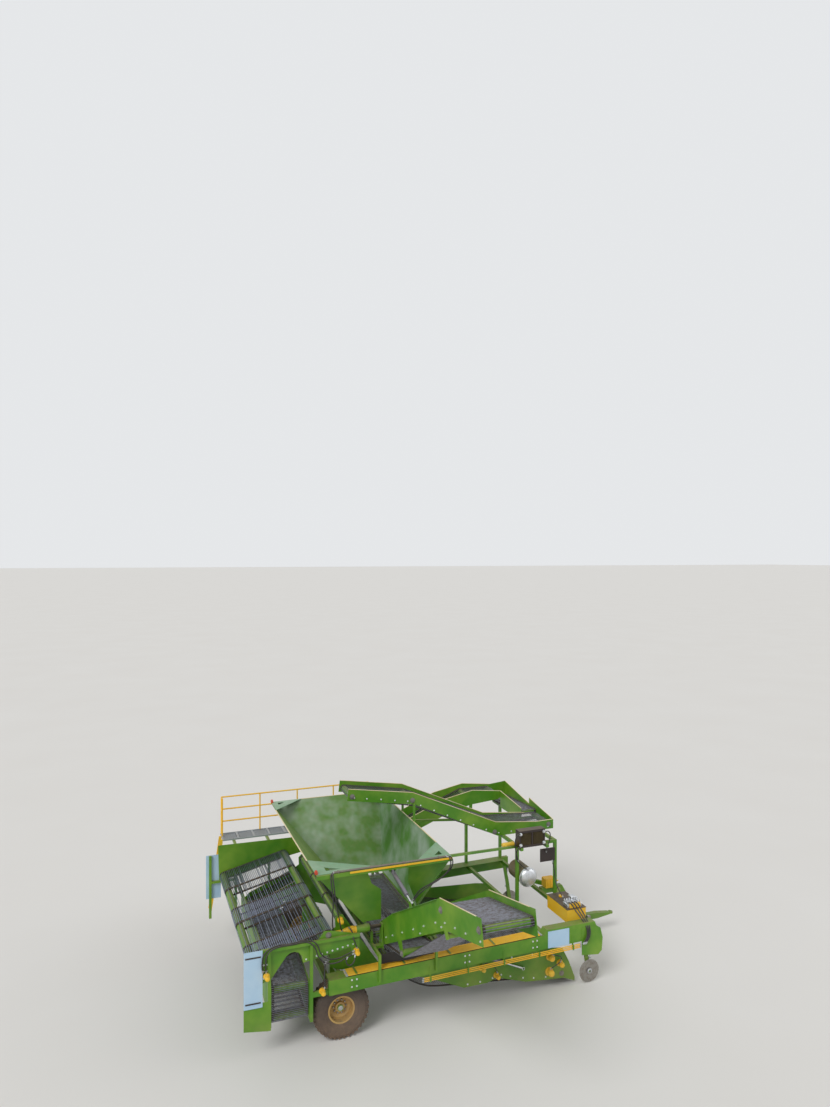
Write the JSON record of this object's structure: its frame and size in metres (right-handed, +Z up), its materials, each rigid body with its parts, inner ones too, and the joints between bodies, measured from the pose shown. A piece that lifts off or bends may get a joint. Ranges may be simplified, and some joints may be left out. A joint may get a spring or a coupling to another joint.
{
  "type": "towed potato harvester",
  "caption": "Towed potato harvester with a digging web, haulm deck, side lift, bunker hopper and raised unloading elevator on a two-wheel frame.",
  "frame": {"origin": "centre of the drawbar eye", "axes": "+Z up through the drawbar eye, +X forward along the power shaft stub, +Y to the machine's left"},
  "size_m": [11.735, 11.8548, 5.17],
  "materials": {
    "paint_green": "satin paint, faded and dusty",
    "paint_yellow": "gloss paint, dusty",
    "steel_plain": "worn bare steel",
    "web_steel": "soil-polished rods on rubber belts",
    "paint_blue": "matt pale blue reflective board",
    "paint_cream": "satin cream-yellow wheel paint",
    "tyre_rubber": "dusty rubber",
    "paint_dark": "dark matt paint",
    "deck_grate": "galvanised grating",
    "lamp_red": "orange-red lens"
  },
  "bodies": {
    "frame": {"beam_right": "paint_green", "beam_left": "paint_green", "cross_tubes": "paint_green", "axle": "paint_green", "tongue": "paint_green", "rear_frame": "paint_green", "boards": "paint_blue", "deck_sides": "paint_green", "deck_web": "web_steel", "cross_sides": "paint_green", "cross_web": "web_steel", "lift_sides": "paint_green", "lift_web": "web_steel", "trough": "paint_green", "trough_web": "web_steel", "fill_sides": "paint_green", "fill_web": "web_steel", "hopper_rear": "paint_green", "hopper_front": "paint_green", "hopper_left": "paint_green", "hopper_right": "paint_green", "hopper_corners": "paint_green", "hopper_floor": "web_steel", "hopper_frame": "paint_green", "tower": "paint_green", "cooler": "paint_dark", "tank": "paint_yellow", "filter": "paint_dark", "pipes_upper": "paint_yellow", "pipes_lower": "paint_yellow", "driveline": "paint_yellow", "walkway": "deck_grate", "guard_rails": "paint_yellow", "ladder": "paint_yellow", "lamps": "lamp_red", "disc_arms": "paint_green", "motors": "paint_yellow"},
    "wheel_right": {"tyre_right": "tyre_rubber", "rim_right": "paint_cream"},
    "wheel_left": {"tyre_left": "tyre_rubber", "rim_left": "paint_cream"},
    "coulter_right": {"disc_right": "steel_plain"},
    "coulter_left": {"disc_left": "steel_plain"},
    "digger": {"digger_sides": "paint_green", "digger_web": "web_steel", "digger_motors": "paint_yellow", "shares": "steel_plain"},
    "elevator": {"boom_sides": "paint_green", "boom_web": "web_steel"},
    "elevator_barrel": {"boom_barrels": "steel_plain"},
    "elevator_rod": {"boom_rods": "steel_plain"},
    "digger_barrels": {"dig_barrels": "steel_plain"},
    "digger_rods": {"dig_rods": "steel_plain"},
    "jack_leg": {"jack": "steel_plain"}
  },
  "joints": [
    {"name": "wheel_right_spin", "type": "hinge", "parent": "frame", "child": "wheel_right", "pos_m": [-9.1, -2.225, 0.135], "axis": [0, 1, 0], "continuous": true},
    {"name": "wheel_left_spin", "type": "hinge", "parent": "frame", "child": "wheel_left", "pos_m": [-9.1, 2.225, 0.135], "axis": [0, 1, 0], "continuous": true},
    {"name": "coulter_right_spin", "type": "hinge", "parent": "frame", "child": "coulter_right", "pos_m": [-2.25, -2.33, -0.23], "axis": [0, 1, 0], "continuous": true},
    {"name": "coulter_left_spin", "type": "hinge", "parent": "frame", "child": "coulter_left", "pos_m": [-2.25, 2.33, -0.23], "axis": [0, 1, 0], "continuous": true},
    {"name": "digger_lift", "type": "hinge", "parent": "frame", "child": "digger", "pos_m": [-7.8, 0, 0.85], "axis": [0, -1, 0], "range_deg": [-3, 5]},
    {"name": "digger_barrel_swing", "type": "hinge", "parent": "frame", "child": "digger_barrels", "pos_m": [-5.8, 0, 0.87], "axis": [0, -1, 0], "range_deg": [-8, 12]},
    {"name": "digger_rod_slide", "type": "slide", "parent": "digger_barrels", "child": "digger_rods", "axis": [0.9119, 0, -0.4104], "range_m": [-0.1, 0.1]},
    {"name": "elevator_lift", "type": "hinge", "parent": "frame", "child": "elevator", "pos_m": [-7.45, -2.15, 1.85], "axis": [-1, 0, 0], "range_deg": [-11, 8]},
    {"name": "elevator_barrel_swing", "type": "hinge", "parent": "frame", "child": "elevator_barrel", "pos_m": [-7.94, -2.7, 3.38], "axis": [-1, 0, 0], "range_deg": [-18, 14]},
    {"name": "elevator_rod_slide", "type": "slide", "parent": "elevator_barrel", "child": "elevator_rod", "axis": [0, -0.9851, -0.1719], "range_m": [-0.26, 0.34]},
    {"name": "jack_swing", "type": "hinge", "parent": "frame", "child": "jack_leg", "pos_m": [-0.85, -0.14, 0], "axis": [0, 1, 0], "range_deg": [0, 90]}
  ],
  "couplings": [
    {"joint": "digger_barrel_swing", "follows": "digger_lift", "ratio": 2.04},
    {"joint": "digger_rod_slide", "follows": "digger_lift", "m_per_rad": -0.79},
    {"joint": "elevator_barrel_swing", "follows": "elevator_lift", "ratio": 1.2},
    {"joint": "elevator_rod_slide", "follows": "elevator_lift", "m_per_rad": -1.59}
  ]
}
